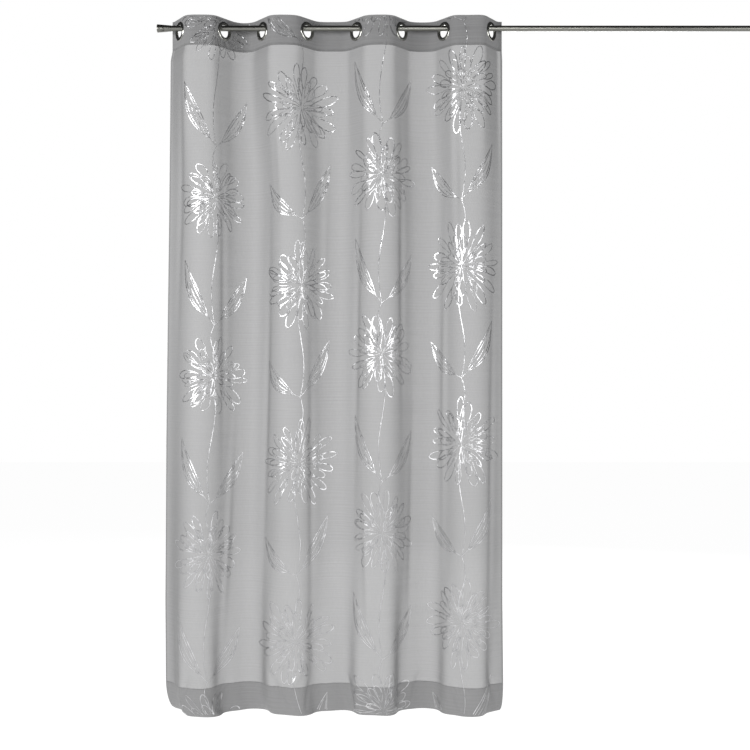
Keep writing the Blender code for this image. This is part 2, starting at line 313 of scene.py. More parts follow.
EYELETS = (
    Eyelet(x=-0.5406, angle=-56.0, cloth=0.055),
    Eyelet(x=-0.3874, angle=54.0, cloth=0.192),
    Eyelet(x=-0.2549, angle=-52.0, cloth=0.178),
    Eyelet(x=-0.1000, angle=49.0, cloth=0.189),
    Eyelet(x=0.0705, angle=-49.0, cloth=0.202),
    Eyelet(x=0.2272, angle=52.0, cloth=0.191),
    Eyelet(x=0.3738, angle=-52.0, cloth=0.183),
    Eyelet(x=0.5374, angle=56.0, cloth=0.200),
)
# Front and back crests take turns, as in the solid cloth.
STATIONS = (
    Station(mid=-0.060, hem=-0.040, steep_mid=0.0, steep_hem=0.0),
    Station(mid=0.175, hem=0.180, steep_mid=50.0, steep_hem=62.0),
    Station(mid=0.355, hem=0.372, steep_mid=54.0, steep_hem=50.0),
    Station(mid=0.550, hem=0.575, steep_mid=50.0, steep_hem=46.0),
    Station(mid=0.722, hem=0.735, steep_mid=50.0, steep_hem=38.0),
    Station(mid=0.925, hem=0.920, steep_mid=50.0, steep_hem=40.0),
    Station(mid=1.115, hem=1.090, steep_mid=52.0, steep_hem=52.0),
    Station(mid=1.305, hem=1.310, steep_mid=52.0, steep_hem=52.0),
    Station(mid=1.500, hem=1.490, steep_mid=48.0, steep_hem=50.0),
)
RIPPLES = (
    Ripple(centre=0.110, width=0.110, steep=20.0),
    Ripple(centre=0.275, width=0.120, steep=-30.0),
    Ripple(centre=0.480, width=0.130, steep=26.0),
    Ripple(centre=0.660, width=0.120, steep=-28.0),
    Ripple(centre=0.835, width=0.130, steep=30.0),
    Ripple(centre=1.010, width=0.120, steep=-26.0),
    Ripple(centre=1.205, width=0.120, steep=24.0),
    Ripple(centre=1.390, width=0.100, steep=-22.0),
)
OUTLINE = (
    Outline(z=-0.10, left=-0.580, right=0.580),
    Outline(z=-0.73, left=-0.587, right=0.580),
    Outline(z=-1.43, left=-0.5965, right=0.580),
    Outline(z=-1.99, left=-0.601, right=0.580),
    Outline(z=-2.371, left=-0.598, right=0.583),
)
# Troughs and ridges: long soft ones down the body, short ones near the hem.
CREASES = (
    Crease(flat=0.070, z=-0.62, width=0.016, length=0.34, depth=0.0040, lean=0.02),
    Crease(flat=0.255, z=-0.95, width=0.014, length=0.42, depth=0.0045, lean=-0.02),
    Crease(flat=0.300, z=-1.75, width=0.013, length=0.36, depth=-0.0040, lean=0.03),
    Crease(flat=0.445, z=-1.30, width=0.015, length=0.50, depth=0.0042, lean=0.01),
    Crease(flat=0.500, z=-0.40, width=0.013, length=0.22, depth=-0.0035, lean=-0.04),
    Crease(flat=0.640, z=-1.60, width=0.014, length=0.45, depth=0.0045, lean=-0.02),
    Crease(flat=0.690, z=-0.70, width=0.013, length=0.30, depth=-0.0036, lean=0.02),
    Crease(flat=0.820, z=-1.10, width=0.015, length=0.48, depth=0.0040, lean=0.02),
    Crease(flat=0.870, z=-1.95, width=0.012, length=0.24, depth=-0.0040, lean=-0.05),
    Crease(flat=1.010, z=-0.85, width=0.015, length=0.40, depth=0.0044, lean=-0.01),
    Crease(flat=1.060, z=-1.70, width=0.013, length=0.36, depth=0.0040, lean=0.03),
    Crease(flat=1.190, z=-1.25, width=0.014, length=0.45, depth=-0.0042, lean=0.01),
    Crease(flat=1.250, z=-0.50, width=0.013, length=0.26, depth=0.0038, lean=-0.03),
    Crease(flat=1.390, z=-1.50, width=0.014, length=0.50, depth=0.0040, lean=0.02),
    Crease(flat=0.130, z=-2.285, width=0.012, length=0.050, depth=0.0060, lean=0.35),
    Crease(flat=0.205, z=-2.300, width=0.010, length=0.045, depth=-0.0055, lean=-0.45),
    Crease(flat=0.285, z=-2.315, width=0.011, length=0.050, depth=0.0060, lean=0.30),
    Crease(flat=0.520, z=-2.290, width=0.012, length=0.055, depth=0.0065, lean=-0.50),
    Crease(flat=0.580, z=-2.255, width=0.012, length=0.040, depth=-0.0060, lean=0.55),
    Crease(flat=0.625, z=-2.315, width=0.010, length=0.045, depth=0.0060, lean=0.25),
    Crease(flat=0.795, z=-2.300, width=0.011, length=0.055, depth=0.0060, lean=-0.30),
    Crease(flat=0.960, z=-2.320, width=0.012, length=0.045, depth=-0.0050, lean=0.40),
    Crease(flat=1.075, z=-2.295, width=0.012, length=0.055, depth=0.0062, lean=0.35),
    Crease(flat=1.255, z=-2.310, width=0.012, length=0.045, depth=-0.0055, lean=-0.35),
    Crease(flat=1.405, z=-2.300, width=0.011, length=0.060, depth=0.0060, lean=-0.30),
)


def ease(t: np.ndarray | float) -> np.ndarray:
    """A soft step from 0 to 1."""
    t = np.clip(t, 0.0, 1.0)
    return t * t * (3.0 - 2.0 * t)


@dataclass(frozen=True)
class FoldPlan:
    """How the cloth hangs: its plan at every height, and any place on it."""

    step: float = 0.001
    top_edge: float = 0.0345
    band_bottom: float = -0.0685
    hem_bottom: float = -2.371
    ring_drop: float = 0.0105
    flat_half: float = 0.034
    right_cloth: float = 0.060
    left_edge_angle: float = -38.0
    right_edge_angle: float = -8.0
    blend_height: float = 0.55
    ripple_length: float = 0.60
    corner_height: float = 0.10
    left_corner_inset: float = 0.034
    right_corner_inset: float = 0.012
    level_spacing: float = 0.008
    crease_fade: float = 0.20

    @cached_property
    def eyelet_flat(self) -> np.ndarray:
        """The eyelets' flat coordinates."""
        return np.cumsum([e.cloth for e in EYELETS])

    @cached_property
    def flat_width(self) -> float:
        """The cloth's width, laid flat."""
        return float(self.eyelet_flat[-1]) + self.right_cloth

    @cached_property
    def flat(self) -> np.ndarray:
        """Samples along the flat width."""
        return np.linspace(0.0, self.flat_width, round(self.flat_width / self.step) + 1)

    def running_sum(self, values: np.ndarray) -> np.ndarray:
        """The integral of samples one step apart, from 0 at the first."""
        return np.concatenate(([0.0], np.cumsum((values[1:] + values[:-1]) / 2.0) * self.step))

    @staticmethod
    def gap_angles(
        u: np.ndarray, start: float, end: float, across: float, along: float
    ) -> np.ndarray:
        """Heading angles over a gap between eyelets, u from 0 to 1."""
        bulge = across * np.sin(2 * np.pi * u) + along * np.sin(np.pi * u)
        return start + (end - start) * u + bulge

    def solve_gap(self, start: float, end: float, cloth: float, chord: float) -> np.ndarray:
        """The two terms of a gap's bulge.

        Args:
            start: the heading angle at the first eyelet, in radians.
            end: the heading angle at the second.
            cloth: the flat width between them.
            chord: their distance along the rod.

        Returns:
            The terms that make the cloth span the chord and end level.
        """
        u = np.linspace(0.0, 1.0, 201)
        flats = self.flat_half * np.array(
            (math.cos(start) + math.cos(end), math.sin(start) + math.sin(end))
        )

        def miss(terms: np.ndarray) -> np.ndarray:
            """How far the end is from where it has to be.

            Args:
                terms: the two terms of the bulge.

            Returns:
                The miss along the rod and across it.
            """
            angles = self.gap_angles(u, start, end, *terms)
            steps = np.array((np.cos(angles), np.sin(angles)))
            reach = (steps[:, 1:] + steps[:, :-1]).mean(axis=1) / 2.0
            return flats + (cloth - 2 * self.flat_half) * reach - np.array((chord, 0.0))

        terms, nudge = np.zeros(2), 1e-5
        for _ in range(30):
            now = miss(terms)
            slopes = [(miss(terms + nudge * unit) - now) / nudge for unit in np.eye(2)]
            terms = terms - np.linalg.solve(np.column_stack(slopes), now)
        return terms

    @cached_property
    def heading_angles(self) -> np.ndarray:
        """The heading angle at each sample along the top of the cloth.

        Returns:
            The angles, in radians.
        """
        flat, half = self.flat, self.flat_half
        angles = np.zeros_like(flat)
        knots = [
            (place, math.radians(e.angle), e.x) for e, place in zip(EYELETS, self.eyelet_flat)
        ]
        for place, turn, _ in knots:
            angles[np.abs(flat - place) <= half + self.step / 2] = turn
        for (place_a, turn_a, x_a), (place_b, turn_b, x_b) in zip(knots, knots[1:]):
            terms = self.solve_gap(turn_a, turn_b, place_b - place_a, x_b - x_a)
            inside = (flat > place_a + half) & (flat < place_b - half)
            u = (flat[inside] - place_a - half) / (place_b - place_a - 2 * half)
            angles[inside] = self.gap_angles(u, turn_a, turn_b, *terms)
        reach = knots[0][0] - half
        left, edge = flat < reach, math.radians(self.left_edge_angle)
        angles[left] = edge + (knots[0][1] - edge) * ease(flat[left] / reach)
        start = knots[-1][0] + half
        right, edge = flat > start, math.radians(self.right_edge_angle)
        turned = ease((flat[right] - start) / (self.right_cloth - half))
        angles[right] = knots[-1][1] + (edge - knots[-1][1]) * turned
        return angles

    @cached_property
    def heading_plan(self) -> tuple[np.ndarray, np.ndarray]:
        """x and y of the samples at the heading, with the eyelets on the rod's axis.

        Returns:
            Their x and their y.
        """
        x = self.running_sum(np.cos(self.heading_angles))
        y = self.running_sum(np.sin(self.heading_angles))
        first, last = (np.interp(self.eyelet_flat[i], self.flat, x) for i in (0, -1))
        x = EYELETS[0].x + (x - first) * (EYELETS[-1].x - EYELETS[0].x) / (last - first)
        rings = np.interp(self.eyelet_flat, self.flat, y)
        return x, y - np.interp(self.flat, self.eyelet_flat, rings)

    def fold_angles(self, z: float) -> np.ndarray:
        """The heading angles of the body's folds and of the hem's ripples at a height.

        Args:
            z: the height.

        Returns:
            The angles at each sample, in radians.
        """
        down = np.clip((self.band_bottom - z) / (self.band_bottom - self.hem_bottom), 0.0, 1.0)
        late = float(ease((down - 0.35) / 0.65))
        places = [s.mid + (s.hem - s.mid) * late for s in STATIONS]
        steeps = [s.steep_mid + (s.steep_hem - s.steep_mid) * late for s in STATIONS]
        angles = np.zeros_like(self.flat)
        side = -1.0
        for start, end, steep in zip(places, places[1:], steeps[1:]):
            inside = (self.flat >= start) & (self.flat < end)
            rise = np.sin(np.pi * (self.flat[inside] - start) / (end - start))
            angles[inside] = side * math.radians(steep) * rise
            side = -side
        grown = float(ease((self.hem_bottom + self.ripple_length - z) / self.ripple_length))
        for ripple in RIPPLES:
            reach = (self.flat - ripple.centre) / ripple.width
            window = np.where(np.abs(reach) < 1.0, np.cos(np.pi * reach / 2) ** 2, 0.0)
            angles += math.radians(ripple.steep) * grown * window * np.sin(2 * np.pi * reach)
        return angles

    def side_edges(self, z: float) -> tuple[float, float]:
        """Where the left and right edges hang at a height, drawn in round the corners.

        Args:
            z: the height.

        Returns:
            The left edge's x and the right edge's.
        """
        heights = [-self.band_bottom, *(-o.z for o in OUTLINE)]
        x = self.heading_plan[0]
        left = float(np.interp(-z, heights, [x[0], *(o.left for o in OUTLINE)]))
        right = float(np.interp(-z, heights, [x[-1], *(o.right for o in OUTLINE)]))
        into = np.clip((self.hem_bottom + self.corner_height - z) / self.corner_height, 0.0, 1.0)
        drawn = 1.0 - math.sqrt(1.0 - into**2)
        return left + self.left_corner_inset * drawn, right - self.right_corner_inset * drawn

    def gathered(self, angles: np.ndarray, width: float) -> tuple[np.ndarray, np.ndarray]:
        """The plan of these angles, made steeper or shallower until it spans the width.

        Args:
            angles: the heading angle at each sample, in radians.
            width: the width to span.

        Returns:
            x and y of the samples.
        """
        low, high = 0.2, 2.0
        for _ in range(30):
            factor = (low + high) / 2.0
            if self.running_sum(np.cos(angles * factor))[-1] > width:
                low = factor
            else:
                high = factor
        return self.running_sum(np.cos(angles * factor)), self.running_sum(np.sin(angles * factor))

    def plan_at(self, z: float) -> tuple[np.ndarray, np.ndarray]:
        """x and y of every sample along the flat width at a height.

        Args:
            z: the height.

        Returns:
            The samples' x and their y.
        """
        heading_x, heading_y = self.heading_plan
        if z >= self.band_bottom:
            return heading_x, heading_y
        share = float(ease((self.band_bottom - z) / self.blend_height))
        left, right = self.side_edges(z)
        angles = (1.0 - share) * self.heading_angles + share * self.fold_angles(z)
        x, y = self.gathered(angles, right - left)
        flat = self.flat
        y = y - np.polyval(np.polyfit(flat, y, 1), flat)
        return left + x, y + np.polyval(np.polyfit(flat, heading_y, 1), flat)

    @cached_property
    def levels(self) -> np.ndarray:
        """The heights at which the plan is worked out, downwards.

        Returns:
            The heights.
        """
        count = round((self.band_bottom - self.hem_bottom) / self.level_spacing)
        below = np.linspace(self.band_bottom, self.hem_bottom, count + 1)
        return np.concatenate(([self.top_edge], below))

    @cached_property
    def tables(self) -> np.ndarray:
        """x, y and the plan normal's x and y, at each level and sample.

        Returns:
            Four tables, a row for each level.
        """
        plans = np.array([self.plan_at(float(z)) for z in self.levels])
        x, y = plans[:, 0], plans[:, 1]
        run_x, run_y = np.gradient(x, axis=1), np.gradient(y, axis=1)
        length = np.hypot(run_x, run_y)
        return np.stack((x, y, -run_y / length, run_x / length))

    def relief(self, flat: np.ndarray, z: np.ndarray) -> np.ndarray:
        """How far the creases push the cloth back, none of it at the heading.

        Args:
            flat: flat coordinates.
            z: heights.

        Returns:
            The push at each place.
        """
        total = np.zeros_like(flat)
        for crease in CREASES:
            side = (flat - crease.flat - crease.lean * (z - crease.z)) / crease.width
            total += crease.depth * np.exp(-(side**2) - ((z - crease.z) / crease.length) ** 2)
        return total * ease((self.band_bottom - 0.02 - z) / self.crease_fade)

    def place(self, flat: np.ndarray, z: np.ndarray, offset: float) -> np.ndarray:
        """Places on the cloth.

        Args:
            flat: flat coordinates.
            z: heights.
            offset: how far behind the folds' own surface.

        Returns:
            One row of x, y and z for each.
        """
        row = np.interp(-z, -self.levels, np.arange(len(self.levels)))
        top = np.minimum(row.astype(int), len(self.levels) - 2)
        col = np.clip(flat / self.step, 0.0, len(self.flat) - 1.0)
        near = np.minimum(col.astype(int), len(self.flat) - 2)
        down, over = row - top, col - near
        t = self.tables
        upper = (1 - over) * t[:, top, near] + over * t[:, top, near + 1]
        lower = (1 - over) * t[:, top + 1, near] + over * t[:, top + 1, near + 1]
        x, y, normal_x, normal_y = (1 - down) * upper + down * lower
        shift = offset + self.relief(flat, z)
        return np.column_stack((x + shift * normal_x, y + shift * normal_y, z))

    def eyelet_place(self, number: int) -> Matrix:
        """The middle of an eyelet, with its X along the cloth and its Z up.

        Args:
            number: which eyelet, from 0.

        Returns:
            Its place.
        """
        x, y = (
            float(np.interp(self.eyelet_flat[number], self.flat, line))
            for line in self.heading_plan
        )
        turn = Matrix.Rotation(math.radians(EYELETS[number].angle), 4, "Z")
        return Matrix.Translation((x, y, -self.ring_drop)) @ turn


# ---------------------------------------------------------------- pieces of cloth
def cloth_piece(
    name: str,
    folds: FoldPlan,
    spots: np.ndarray,
    faces: list[tuple[int, ...]],
    offset: float,
    finish: bpy.types.Material,
) -> bpy.types.Object:
    """A piece of cloth, print or thread on the folds.

    Args:
        name: the piece's name.
        folds: how the cloth hangs.
        spots: each vertex's flat coordinate and height.
        faces: the vertices of each face.
        offset: how far behind the folds' own surface.
        finish: the piece's material.

    Returns:
        The piece, riding on the body.
    """
    mesh = bpy.data.meshes.new(name)
    mesh.from_pydata(folds.place(spots[:, 0], spots[:, 1], offset).tolist(), [], faces)
    corners = np.zeros(len(mesh.loops), np.int32)
    mesh.loops.foreach_get("vertex_index", corners)
    weave = mesh.uv_layers.new(name="weave")
    weave.data.foreach_set("uv", spots[corners].astype(np.float32).ravel())
    mesh.shade_smooth()
    mesh.materials.append(finish)
    return fitted(name, mesh)


def fitted(name: str, mesh: bpy.types.Mesh) -> bpy.types.Object:
    """A piece made of a mesh, riding on the body.

    Args:
        name: the piece's name.
        mesh: its mesh, in place.

    Returns:
        The piece.
    """
    piece = bpy.data.objects.new(name, mesh)
    bpy.context.scene.collection.objects.link(piece)
    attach(piece, BODY)
    LOG.info("%s: %d faces", name, len(mesh.polygons))
    return piece


@dataclass
class SheetPattern:
    """The grid of cells that a sheet of the curtain is made of, with holes for the eyelets."""

    folds: FoldPlan
    square_cells: int = 16
    gap_cells: int = 22
    edge_cells: int = 5
    hole_radius: float = 0.0231
    hole_loops: int = 3

    @cached_property
    def columns(self) -> np.ndarray:
        """Flat coordinates of the columns.

        Returns:
            The coordinates, from the left edge.
        """
        half, last, cells = self.folds.flat_half, 0.0, self.edge_cells
        parts = []
        for place in self.folds.eyelet_flat:
            parts.append(np.linspace(last, place - half, cells, endpoint=False))
            last, cells = place + half, self.gap_cells
            parts.append(np.linspace(place - half, last, self.square_cells, endpoint=False))
        parts.append(np.linspace(last, self.folds.flat_width, self.edge_cells + 1))
        return np.concatenate(parts)

    @cached_property
    def squares(self) -> list[int]:
        """The first column of the square of cells around each eyelet."""
        stride = self.square_cells + self.gap_cells
        return [self.edge_cells + stride * i for i in range(len(EYELETS))]

    @cached_property
    def heading_rows(self) -> np.ndarray:
        """Heights of the rows across the heading, downwards, one of them above the squares.

        Returns:
            The heights.
        """
        folds = self.folds
        top, bottom = (s * folds.flat_half - folds.ring_drop for s in (1, -1))
        below = np.linspace(bottom, folds.band_bottom, 7)[1:]
        squares = np.linspace(top, bottom, self.square_cells + 1)
        return np.concatenate(([folds.top_edge], squares, below))

    def grid(self, columns: np.ndarray, rows: np.ndarray) -> np.ndarray:
        """Flat coordinates and heights of a grid's vertices, row by row."""
        flat, z = np.meshgrid(columns, rows)
        return np.column_stack((flat.ravel(), z.ravel()))

    def cells(self, rows: int, columns: int, holes: bool) -> list[tuple[int, ...]]:
        """A grid's faces, left out where the eyelets' squares are.

        Args:
            rows: how many rows of vertices.
            columns: how many in each.
            holes: whether the eyelets' squares are left out.

        Returns:
            The vertices of each face.
        """
        n = self.square_cells
        kept = []
        for row in range(rows - 1):
            for col in range(columns - 1):
                if holes and 1 <= row <= n and any(0 <= col - s < n for s in self.squares):
                    continue
                low, high = (row + 1) * columns + col, row * columns + col
                kept.append((low, low + 1, high + 1, high))
        return kept

    def border(self) -> list[tuple[int, int]]:
        """(column, row) steps around a square of cells, starting at its low left corner.

        Returns:
            The steps.
        """
        n = self.square_cells
        low, right = [(i, 0) for i in range(n)], [(n, i) for i in range(n)]
        high, left = [(n - i, n) for i in range(n)], [(0, n - i) for i in range(n)]
        return low + right + high + left

    def with_holes(self, rows: np.ndarray) -> tuple[np.ndarray, list[tuple[int, ...]]]:
        """A sheet's vertices and faces, with round holes for the eyelets.

        Args:
            rows: the heights of its rows, downwards.

        Returns:
            Each vertex's flat coordinate and height, and the vertices of each face.
        """
        columns, n = self.columns, self.square_cells
        spots = [self.grid(columns, rows)]
        faces = self.cells(len(rows), len(columns), True)
        total, steps = len(spots[0]), self.border()
        for first, place in zip(self.squares, self.folds.eyelet_flat):
            centre = np.array((place, -self.folds.ring_drop))
            edge = [(1 + n - up) * len(columns) + first + along for along, up in steps]
            spokes = spots[0][edge] - centre
            rim = spokes / np.linalg.norm(spokes, axis=1)[:, None] * self.hole_radius
            for loop in range(1, self.hole_loops + 1):
                spots.append(centre + spokes + (rim - spokes) * loop / self.hole_loops)
                inner = list(range(total, total + len(steps)))
                for a in range(len(steps)):
                    b = (a + 1) % len(steps)
                    faces.append((edge[a], edge[b], inner[b], inner[a]))
                edge, total = inner, total + len(steps)
        return np.vstack(spots), faces


@dataclass
class Curtain:
    """The sheer panel, its heading band, its hems and its stitching."""

    folds: FoldPlan
    pattern: SheetPattern
    row_spacing: float = 0.0115
    panel_depth: float = -0.00065
    band_depth: float = 0.00065
    binding_depth: float = 0.00105
    hem_depth: float = -0.00015
    hem_height: float = 0.097
    hem_rows: int = 12
    side_hem: float = 0.006
    binding_height: float = 0.0065
    stitch_pitch: float = 0.0036
    stitch_length: float = 0.0026
    stitch_width: float = 0.0011
    stitch_depth: float = -0.00125
    return_cloth: float = 0.105
    finishes: dict[str, bpy.types.Material] = field(default_factory=dict)

    def build(self) -> tuple[bpy.types.Object, bpy.types.Object, list[bpy.types.Object]]:
        """Makes the cloth.

        Returns:
            The panel, the heading band, and the hems and stitching.
        """
        self.finishes = {f.name: f.dress() for f in (VOILE, HEM_CLOTH, TAPE, BINDING, THREAD)}
        return self.panel(), self.band(), [*self.hems(), self.binding(), *self.stitching()]

    def body_rows(self) -> np.ndarray:
        """Heights of the rows below the heading, with one on the hem's fold line.

        Returns:
            The heights, downwards.
        """
        folds = self.folds
        line = folds.hem_bottom + self.hem_height
        count = round((folds.band_bottom - line) / self.row_spacing)
        above = np.linspace(folds.band_bottom, line, count + 1)[1:]
        return np.concatenate((above, np.linspace(line, folds.hem_bottom, self.hem_rows + 1)[1:]))

    def panel(self) -> bpy.types.Object:
        """The sheer panel, from its top edge to its hem.

        Returns:
            The panel.
        """
        rows = np.concatenate((self.pattern.heading_rows, self.body_rows()))
        spots, faces = self.pattern.with_holes(rows)
        cloth = self.finishes[VOILE.name]
        piece = cloth_piece(
            "sheer_panel", self.folds, spots, faces, self.panel_depth, cloth
        )
        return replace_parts(piece, "voile_panel")

    def band(self) -> bpy.types.Object:
        """The heading band, behind the panel.

        Returns:
            The band.
        """
        spots, faces = self.pattern.with_holes(self.pattern.heading_rows)
        cloth = self.finishes[TAPE.name]
        piece = cloth_piece(
            "heading_tape", self.folds, spots, faces, self.band_depth, cloth
        )
        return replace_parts(piece, "heading_band")

    def strip(
        self, name: str, columns: np.ndarray, rows: np.ndarray, depth: float, finish: ClothFinish
    ) -> bpy.types.Object:
        """A plain strip of cloth on the folds, between these columns and rows.

        Args:
            name: the strip's name.
            columns: its flat coordinates.
            rows: its heights, downwards.
            depth: how far behind the folds' own surface.
            finish: its cloth.

        Returns:
            The strip.
        """
        faces = self.pattern.cells(len(rows), len(columns), False)
        spots = self.pattern.grid(columns, rows)
        return cloth_piece(
            name, self.folds, spots, faces, depth, self.finishes[finish.name]
        )

    def hems(self) -> list[bpy.types.Object]:
        """The turned-up layers of the bottom hem and of the two side hems.

        Returns:
            The three layers.
        """
        folds, columns = self.folds, self.pattern.columns
        rows = np.linspace(folds.hem_bottom + self.hem_height, folds.hem_bottom, self.hem_rows + 1)
        made = [self.strip("bottom_hem", columns, rows, self.hem_depth, HEM_CLOTH)]
        rows = np.concatenate(([folds.band_bottom], self.body_rows()[: -self.hem_rows]))
        for name, start in (("left", 0.0), ("right", folds.flat_width - self.side_hem)):
            columns = np.linspace(start, start + self.side_hem, 4)
            made.append(
                self.strip(f"side_hem_{name}", columns, rows, self.hem_depth, HEM_CLOTH)
            )
        return made

    def binding(self) -> bpy.types.Object:
        """The stitched strip along the band's lower edge.

        Returns:
            The strip.
        """
        bottom = self.folds.band_bottom
        rows = np.linspace(bottom + self.binding_height, bottom, 4)
        return self.strip(
            "band_binding", self.pattern.columns, rows, self.binding_depth, BINDING
        )

    def stitching(self) -> list[bpy.types.Object]:
        """Rows of small stitches on the band's binding and on the hem's fold line.

        Returns:
            One piece for each row.
        """
        folds = self.folds
        bottom = folds.band_bottom
        made = []
        for name, z in (
            ("band_stitches_low", bottom + 0.0015),
            ("band_stitches_high", bottom + self.binding_height - 0.001),
            ("hem_stitches", folds.hem_bottom + self.hem_height - 0.002),
        ):
            starts = np.arange(0.004, folds.flat_width - 0.006, self.stitch_pitch)
            spots, faces = [], []
            for start in starts:
                for share in (0.0, 0.5, 1.0):
                    half = self.stitch_width * (0.5 if share == 0.5 else 0.25)
                    flat = start + self.stitch_length * share
                    spots += [(flat, z - half), (flat, z + half)]
                for part in (0, 2):
                    a = len(spots) - 6 + part
                    faces.append((a, a + 2, a + 3, a + 1))
            thread = self.finishes[THREAD.name]
            made.append(
                cloth_piece(
                    name, folds, np.array(spots), faces, self.stitch_depth, thread
                )
            )
        return made


# ---------------------------------------------------------------- the print
class Motif(Enum):
    """Which way the pair of leaves under a flower spreads."""

    HIGH = "high"
    LOW = "low"


class Column(NamedTuple):
    """A column of the print: its flat coordinate, its first flower's height and its leaves."""

    flat: float
    first: float
    motif: Motif


class Leaf(NamedTuple):
    """Where a leaf's tip is from its base."""

    over: float
    up: float
    bend: float


COLUMNS = (
    Column(flat=0.215, first=0.020, motif=Motif.HIGH),
    Column(flat=0.585, first=-0.280, motif=Motif.LOW),
    Column(flat=0.926, first=0.096, motif=Motif.HIGH),
    Column(flat=1.272, first=-0.214, motif=Motif.LOW),
)
LEAVES = {
    Motif.HIGH: (0.176, Leaf(-0.115, 0.224, 0.018), Leaf(0.134, 0.169, -0.020)),
    Motif.LOW: (0.229, Leaf(-0.135, 0.124, 0.022), Leaf(0.122, 0.196, -0.016)),
}


class Stroke(NamedTuple):
    """One printed line, as flat coordinates and heights, and its width."""

    line: np.ndarray
    width: float


class Petals(NamedTuple):
    """A ring of a flower's petals: how many, and where they start, end and how wide they are."""

    count: int
    start: float
    end: float
    width: float


@dataclass
class FoilPrint:
    """A repeating line drawing of flowers, leaves and stems in silver foil."""

    folds: FoldPlan
    repeat: float = 0.6125
    rows: int = 5
    radii: tuple[float, float] = (0.148, 0.158)
    petal_line: float = 0.0029
    leaf_line: float = 0.0029
    stem_line: float = 0.0019
    depth: float = -0.00100
    leaf_half: float = 0.021
    blade_start: float = 0.14
    inner_share: float = 0.60
    sway: float = 0.012
    line_ends: float = 0.45
    margin: float = 0.004
    ring_clear: float = 0.0340
    seed: int = 24
    petals: tuple[Petals, ...] = (
        Petals(count=17, start=0.36, end=0.98, width=0.026),
        Petals(count=13, start=0.20, end=0.72, width=0.022),
        Petals(count=8, start=0.05, end=0.44, width=0.017),
    )

    def build(self) -> list[bpy.types.Object]:
        """Draws every column of the print, one piece each.

        Returns:
            The pieces.
        """
        foil = FOIL.dress()
        draw = random.Random(self.seed)
        made = []
        for number, column in enumerate(COLUMNS, 1):
            lines = self.column_lines(column, draw)
            spots, faces = self.ribbons(lines)
            made.append(
                cloth_piece(
                    f"foil_print_{number}", self.folds, spots, faces, self.depth, foil
                )
            )
        return made

    def column_lines(self, column: Column, draw: random.Random) -> list[Stroke]:
        """Every line of a column.

        Args:
            column: the column.
            draw: the source of its unevenness.

        Returns:
            The lines.
        """
        lines = []
        rise, *pair = LEAVES[column.motif]
        radius = self.radii[column.motif is Motif.LOW]
        for row in range(-1, self.rows):
            centre = np.array((column.flat, column.first - self.repeat * row))
            base = centre + np.array((0.0, rise - self.repeat))
            lines += self.flower(centre, radius, draw)
            for leaf in pair:
                lines += self.leaf(base, leaf)
            sway = self.sway if column.motif is Motif.HIGH else -self.sway
            lines.append(self.stem(centre, base, sway))
            lines.append(self.stem(base, centre - np.array((0.0, self.repeat)), -sway))
        return lines

    def flower(self, centre: np.ndarray, radius: float, draw: random.Random) -> list[Stroke]:
        """A flower's petals, each a narrow loop with a round tip.

        Args:
            centre: the flower's flat coordinate and height.
            radius: the flower's radius.
            draw: the source of its unevenness.

        Returns:
            The loops.
        """
        lines = []
        for ring in self.petals:
            turn = draw.uniform(0.0, math.tau)
            for i in range(ring.count):
                angle = turn + math.tau * (i + draw.uniform(-0.30, 0.30)) / ring.count
                start = radius * ring.start * draw.uniform(0.75, 1.25)
                end = radius * ring.end * draw.uniform(0.80, 1.06)
                width = ring.width * draw.uniform(0.65, 1.2)
                loop = self.petal(start, end, width, draw.uniform(-0.014, 0.014))
                cos, sin = math.cos(angle), math.sin(angle)
                loop = centre + loop @ np.array(((cos, sin), (-sin, cos)))
                lines.append(Stroke(loop, self.petal_line * draw.uniform(0.55, 1.2)))
        return lines

    @staticmethod
    def petal(start: float, end: float, width: float, bend: float) -> np.ndarray:
        """One petal along +X: out along one side, round the tip and back.

        Args:
            start: where it starts, from the flower's centre.
            end: where its tip is.
            width: how wide it is.
            bend: how far its tip swings aside.

        Returns:
            The places along it.
        """
        u = np.sin(np.linspace(0.0, np.pi / 2, 17))
        along = start + (end - start) * u
        side = width / 2.0 * np.sqrt(np.sin(np.pi * np.minimum(u**1.7, 1.0)).clip(0.0))
        out = np.column_stack((along, side))
        loop = np.vstack((out, np.column_stack((along, -side))[-2::-1]))
        reach = np.clip((loop[:, 0] - start) / (end - start), 0.0, 1.0)
        loop[:, 1] += bend * reach**2
        return loop

    def leaf(self, base: np.ndarray, leaf: Leaf) -> list[Stroke]:
        """A pointed leaf: two outlines, one inside the other, and a midrib.

        Args:
            base: where its stalk starts.
            leaf: where its tip is, and its bend.

        Returns:
            The lines.
        """
        axis = np.array((leaf.over, leaf.up))
        side = np.array((-leaf.up, leaf.over)) / np.hypot(*axis)
        u = np.linspace(0.0, 1.0, 34)
        spine = base + u[:, None] * axis + (leaf.bend * np.sin(np.pi * u))[:, None] * side
        lines = [Stroke(spine[:24], self.stem_line)]
        blade = np.clip((u - self.blade_start) / (1.0 - self.blade_start), 0.0, 1.0)
        for share, first, last in ((1.0, 5, 34), (self.inner_share, 9, 30)):
            bulge = self.leaf_half * share * np.sin(np.pi * blade**0.85)
            for way in (-1.0, 1.0):
                edge = (spine + (way * bulge)[:, None] * side)[first:last]
                lines.append(Stroke(edge, self.leaf_line * (0.6 + 0.4 * share)))
        return lines

    def stem(self, start: np.ndarray, end: np.ndarray, sway: float) -> Stroke:
        """A gently swaying stem between two places.

        Args:
            start: its first place.
            end: its last place.
            sway: how far it swings aside.

        Returns:
            The line.
        """
        u = np.linspace(0.0, 1.0, 60)
        line = start + u[:, None] * (end - start)
        line[:, 0] += sway * np.sin(2 * np.pi * u)
        return Stroke(line, self.stem_line)

